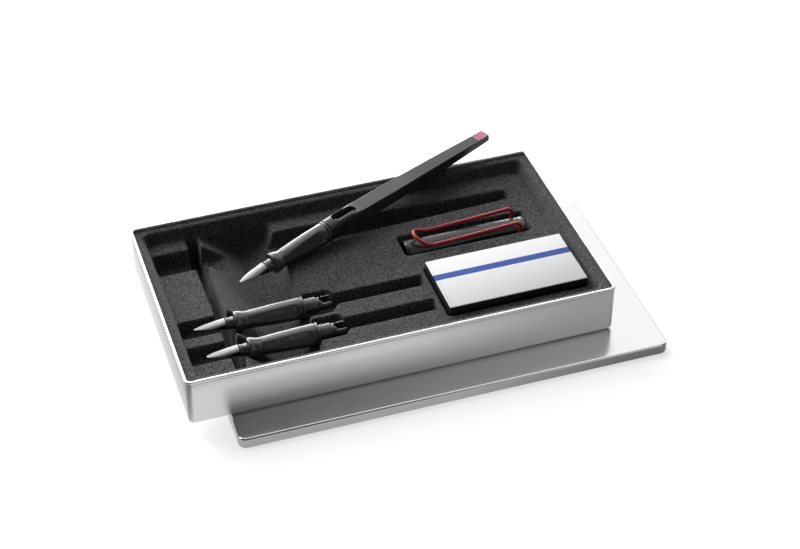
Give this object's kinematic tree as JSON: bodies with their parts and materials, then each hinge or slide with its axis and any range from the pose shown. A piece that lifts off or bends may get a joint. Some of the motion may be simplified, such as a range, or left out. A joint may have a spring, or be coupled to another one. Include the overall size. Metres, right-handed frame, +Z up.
{
  "type": "calligraphy set box",
  "caption": "Flat metal tin with a flocked insert that holds a calligraphy pen, its cap, spare nib grips and a carton of cartridges; the lid lies under the open tray.",
  "frame": {"origin": "on the surface that the lid lies on, in the middle of the whole object's outline seen from above", "axes": "+X along the tray, from the nibs' end to the caps' end; +Y towards the tray's back; +Z up"},
  "size_m": [0.2538, 0.165, 0.0428],
  "materials": {
    "tray_metal": "brushed",
    "lid_metal": "satin",
    "liner_felt": "matt",
    "flock": "flocked",
    "grip_plastic": "satin",
    "barrel_plastic": "satin",
    "inlay_red": "satin",
    "nib_steel": "satin",
    "feed_plastic": "satin",
    "ink_plastic": "gloss",
    "cap_plastic": "satin",
    "clip_red": "gloss",
    "carton_dark": "satin",
    "carton_white": "satin"
  },
  "bodies": {
    "lid": {"lid_shell": "lid_metal", "lid_liner": "liner_felt"},
    "tray": {"tray_shell": "tray_metal", "insert": "flock"},
    "pen": {"pen_grip": "grip_plastic", "pen_nib": "nib_steel", "pen_feed": "feed_plastic"},
    "barrel": {"pen_barrel": "barrel_plastic", "barrel_inlay": "inlay_red"},
    "cartridge": {"pen_cartridge": "ink_plastic"},
    "spare_1": {"spare_1_grip": "grip_plastic", "spare_1_nib": "nib_steel", "spare_1_feed": "feed_plastic"},
    "spare_2": {"spare_2_grip": "grip_plastic", "spare_2_nib": "nib_steel", "spare_2_feed": "feed_plastic"},
    "cap": {"cap_shell": "cap_plastic", "cap_inner": "feed_plastic", "cap_plug": "grip_plastic"},
    "clip": {"cap_clip": "clip_red"},
    "carton": {"carton_base": "carton_dark", "cartridge_1": "ink_plastic", "cartridge_2": "ink_plastic", "cartridge_3": "ink_plastic", "cartridge_4": "ink_plastic", "cartridge_5": "ink_plastic"},
    "flap": {"carton_flap": "carton_white"}
  },
  "joints": [
    {"name": "tray_lift", "type": "slide", "parent": "lid", "child": "tray", "axis": [0, 0, 1], "range_m": [0, 0.06]},
    {"name": "pen_lift", "type": "slide", "parent": "tray", "child": "pen", "axis": [0, 0, 1], "range_m": [0, 0.08]},
    {"name": "barrel_pull", "type": "slide", "parent": "pen", "child": "barrel", "axis": [0.9191, 0.3882, 0.0675], "range_m": [0, 0.015]},
    {"name": "cartridge_pull", "type": "slide", "parent": "pen", "child": "cartridge", "axis": [0.9191, 0.3882, 0.0675], "range_m": [0, 0.008]},
    {"name": "spare_1_lift", "type": "slide", "parent": "tray", "child": "spare_1", "axis": [0, 0, 1], "range_m": [0, 0.05]},
    {"name": "spare_2_lift", "type": "slide", "parent": "tray", "child": "spare_2", "axis": [0, 0, 1], "range_m": [0, 0.05]},
    {"name": "cap_lift", "type": "slide", "parent": "tray", "child": "cap", "axis": [0, 0, 1], "range_m": [0, 0.05]},
    {"name": "clip_flex", "type": "hinge", "parent": "cap", "child": "clip", "pos_m": [0.07659, 0.01664, 0.0207], "axis": [0, 1, 0], "range_deg": [0, 8], "stiffness_Nm_per_rad": 0.6},
    {"name": "carton_lift", "type": "slide", "parent": "tray", "child": "carton", "axis": [0, 0, 1], "range_m": [0, 0.05]},
    {"name": "flap_open", "type": "hinge", "parent": "carton", "child": "flap", "pos_m": [0.01708, -0.02596, 0.03045], "axis": [0, -1, 0], "range_deg": [0, 115]}
  ]
}
